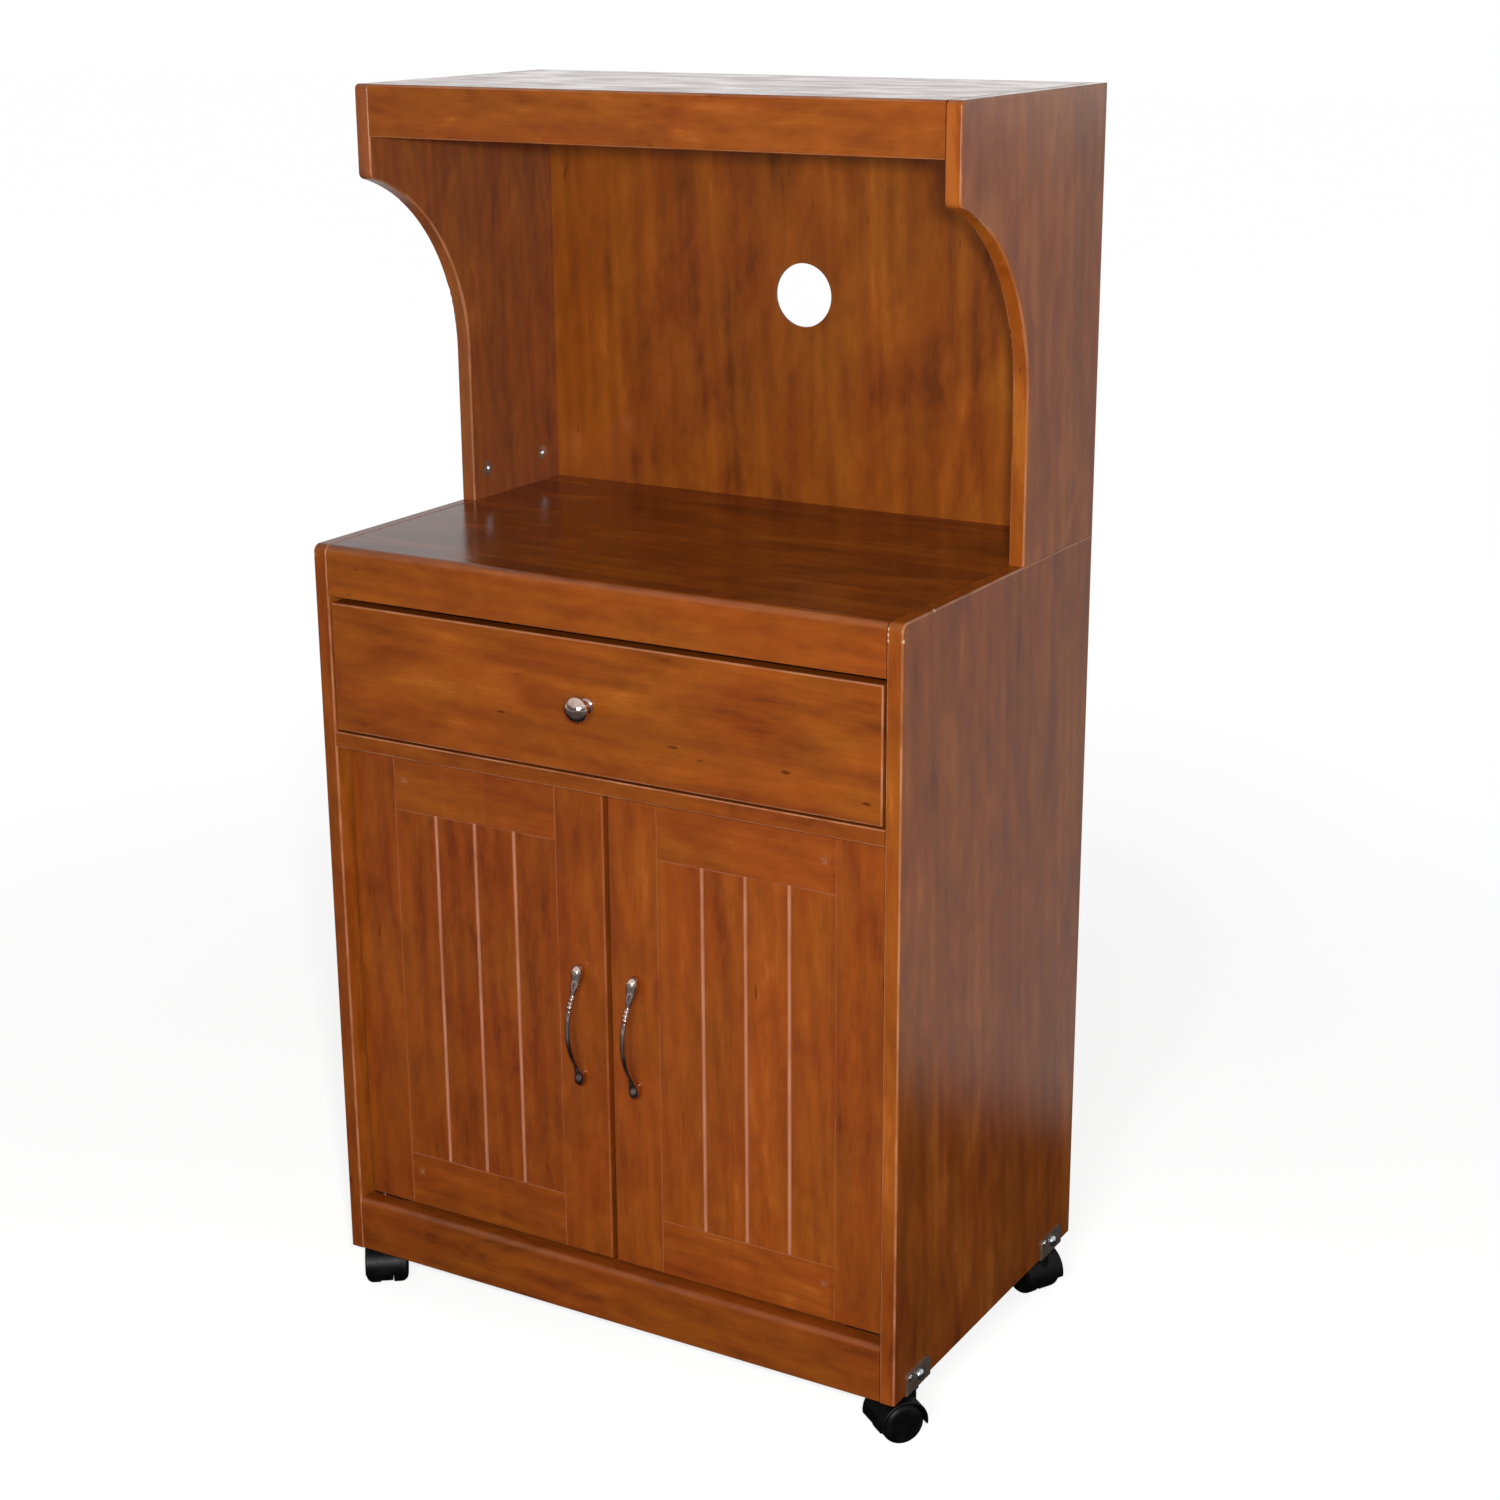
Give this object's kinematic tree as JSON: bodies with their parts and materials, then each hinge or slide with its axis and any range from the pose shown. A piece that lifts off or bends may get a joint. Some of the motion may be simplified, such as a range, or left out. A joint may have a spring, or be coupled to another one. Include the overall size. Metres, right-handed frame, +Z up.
{
  "type": "microwave stand with drawer",
  "caption": "Rolling kitchen cart: cupboard with inset plank-look doors, a drawer above them, and an open hutch with concave sides over the deck.",
  "frame": {"origin": "on the floor under the centre of the whole stand's box, casters and knob included", "axes": "+X to the stand's right as its doors are faced, +Y to the back, +Z up"},
  "size_m": [0.6278, 0.401, 1.155],
  "materials": {
    "cherry_laminate": "satin printed cherry laminate on particle board",
    "printed_hardboard": "matt printed hardboard",
    "drawer_side_board": "matt foil-wrapped board",
    "beech_dowel": "bare beech",
    "zinc_plated_steel": "zinc plated",
    "bracket_steel": "zinc plated, dulled",
    "handle_chrome": "bright plated",
    "knob_chrome": "bright plated",
    "runner_plastic": "moulded",
    "catch_plastic": "moulded",
    "caster_plastic": "black nylon, moulded",
    "caster_wheel_plastic": "black nylon, worn tread"
  },
  "bodies": {
    "carcass": {"left_side_panel": "cherry_laminate", "right_side_panel": "cherry_laminate", "hutch_left_side": "cherry_laminate", "hutch_right_side": "cherry_laminate", "deck_board": "cherry_laminate", "deck_apron": "cherry_laminate", "hutch_top": "cherry_laminate", "hutch_valance": "cherry_laminate", "toe_rail": "cherry_laminate", "bottom_panel": "cherry_laminate", "fixed_shelf": "cherry_laminate", "loose_shelf": "cherry_laminate", "shelf_pins": "zinc_plated_steel", "lower_back_panel": "printed_hardboard", "hutch_back_panel": "printed_hardboard", "cam_locks": "zinc_plated_steel", "cam_bolts": "zinc_plated_steel", "wood_dowels": "beech_dowel", "back_panel_nails": "zinc_plated_steel", "drawer_runners": "runner_plastic", "drawer_runner_screws": "zinc_plated_steel", "hinge_pivot_plates": "zinc_plated_steel", "magnet_catch": "catch_plastic", "caster_brackets": "bracket_steel", "bracket_bolts": "zinc_plated_steel", "bracket_screws": "zinc_plated_steel", "caster_stems": "zinc_plated_steel"},
    "drawer": {"drawer_front": "cherry_laminate", "drawer_left_side": "drawer_side_board", "drawer_right_side": "drawer_side_board", "drawer_back": "drawer_side_board", "drawer_bottom": "printed_hardboard", "drawer_knob": "knob_chrome", "knob_screw": "zinc_plated_steel"},
    "left_door_set": {"left_door": "cherry_laminate", "left_handle": "handle_chrome", "left_handle_screws": "zinc_plated_steel", "left_hinge_leaves": "zinc_plated_steel", "left_hinge_screws": "zinc_plated_steel", "left_strike_plate": "zinc_plated_steel"},
    "right_door_set": {"right_door": "cherry_laminate", "right_handle": "handle_chrome", "right_handle_screws": "zinc_plated_steel", "right_hinge_leaves": "zinc_plated_steel", "right_hinge_screws": "zinc_plated_steel", "right_strike_plate": "zinc_plated_steel"},
    "front_left_caster": {"front_left_caster_hood": "caster_plastic"},
    "front_left_caster_left_wheel_body": {"front_left_caster_left_wheel": "caster_wheel_plastic"},
    "front_left_caster_right_wheel_body": {"front_left_caster_right_wheel": "caster_wheel_plastic"},
    "front_right_caster": {"front_right_caster_hood": "caster_plastic"},
    "front_right_caster_left_wheel_body": {"front_right_caster_left_wheel": "caster_wheel_plastic"},
    "front_right_caster_right_wheel_body": {"front_right_caster_right_wheel": "caster_wheel_plastic"},
    "rear_left_caster": {"rear_left_caster_hood": "caster_plastic"},
    "rear_left_caster_left_wheel_body": {"rear_left_caster_left_wheel": "caster_wheel_plastic"},
    "rear_left_caster_right_wheel_body": {"rear_left_caster_right_wheel": "caster_wheel_plastic"},
    "rear_right_caster": {"rear_right_caster_hood": "caster_plastic"},
    "rear_right_caster_left_wheel_body": {"rear_right_caster_left_wheel": "caster_wheel_plastic"},
    "rear_right_caster_right_wheel_body": {"rear_right_caster_right_wheel": "caster_wheel_plastic"}
  },
  "joints": [
    {"name": "drawer_slide", "type": "slide", "parent": "carcass", "child": "drawer", "axis": [0, -1, 0], "range_m": [0, 0.24]},
    {"name": "left_door_hinge", "type": "hinge", "parent": "carcass", "child": "left_door_set", "pos_m": [-0.274, -0.152, 0.3365], "axis": [0, 0, -1], "range_deg": [0, 95]},
    {"name": "right_door_hinge", "type": "hinge", "parent": "carcass", "child": "right_door_set", "pos_m": [0.274, -0.152, 0.3365], "axis": [0, 0, 1], "range_deg": [0, 95]},
    {"name": "front_left_swivel", "type": "hinge", "parent": "carcass", "child": "front_left_caster", "pos_m": [-0.2925, -0.1305, 0.04], "axis": [0, 0, 1], "continuous": true},
    {"name": "front_left_caster_left_wheel_spin", "type": "hinge", "parent": "front_left_caster", "child": "front_left_caster_left_wheel_body", "pos_m": [-0.28427, -0.14183, 0.02], "axis": [0.809, 0.5878, 0], "continuous": true},
    {"name": "front_left_caster_right_wheel_spin", "type": "hinge", "parent": "front_left_caster", "child": "front_left_caster_right_wheel_body", "pos_m": [-0.28427, -0.14183, 0.02], "axis": [0.809, 0.5878, 0], "continuous": true},
    {"name": "front_right_swivel", "type": "hinge", "parent": "carcass", "child": "front_right_caster", "pos_m": [0.2925, -0.1305, 0.04], "axis": [0, 0, 1], "continuous": true},
    {"name": "front_right_caster_left_wheel_spin", "type": "hinge", "parent": "front_right_caster", "child": "front_right_caster_left_wheel_body", "pos_m": [0.28427, -0.14183, 0.02], "axis": [0.809, -0.5878, 0], "continuous": true},
    {"name": "front_right_caster_right_wheel_spin", "type": "hinge", "parent": "front_right_caster", "child": "front_right_caster_right_wheel_body", "pos_m": [0.28427, -0.14183, 0.02], "axis": [0.809, -0.5878, 0], "continuous": true},
    {"name": "rear_left_swivel", "type": "hinge", "parent": "carcass", "child": "rear_left_caster", "pos_m": [-0.2925, 0.1555, 0.04], "axis": [0, 0, 1], "continuous": true},
    {"name": "rear_left_caster_left_wheel_spin", "type": "hinge", "parent": "rear_left_caster", "child": "rear_left_caster_left_wheel_body", "pos_m": [-0.27898, 0.15188, 0.02], "axis": [0.2588, 0.9659, 0], "continuous": true},
    {"name": "rear_left_caster_right_wheel_spin", "type": "hinge", "parent": "rear_left_caster", "child": "rear_left_caster_right_wheel_body", "pos_m": [-0.27898, 0.15188, 0.02], "axis": [0.2588, 0.9659, 0], "continuous": true},
    {"name": "rear_right_swivel", "type": "hinge", "parent": "carcass", "child": "rear_right_caster", "pos_m": [0.2925, 0.1555, 0.04], "axis": [0, 0, 1], "continuous": true},
    {"name": "rear_right_caster_left_wheel_spin", "type": "hinge", "parent": "rear_right_caster", "child": "rear_right_caster_left_wheel_body", "pos_m": [0.28003, 0.16186, 0.02], "axis": [-0.454, -0.891, 0], "continuous": true},
    {"name": "rear_right_caster_right_wheel_spin", "type": "hinge", "parent": "rear_right_caster", "child": "rear_right_caster_right_wheel_body", "pos_m": [0.28003, 0.16186, 0.02], "axis": [-0.454, -0.891, 0], "continuous": true}
  ]
}
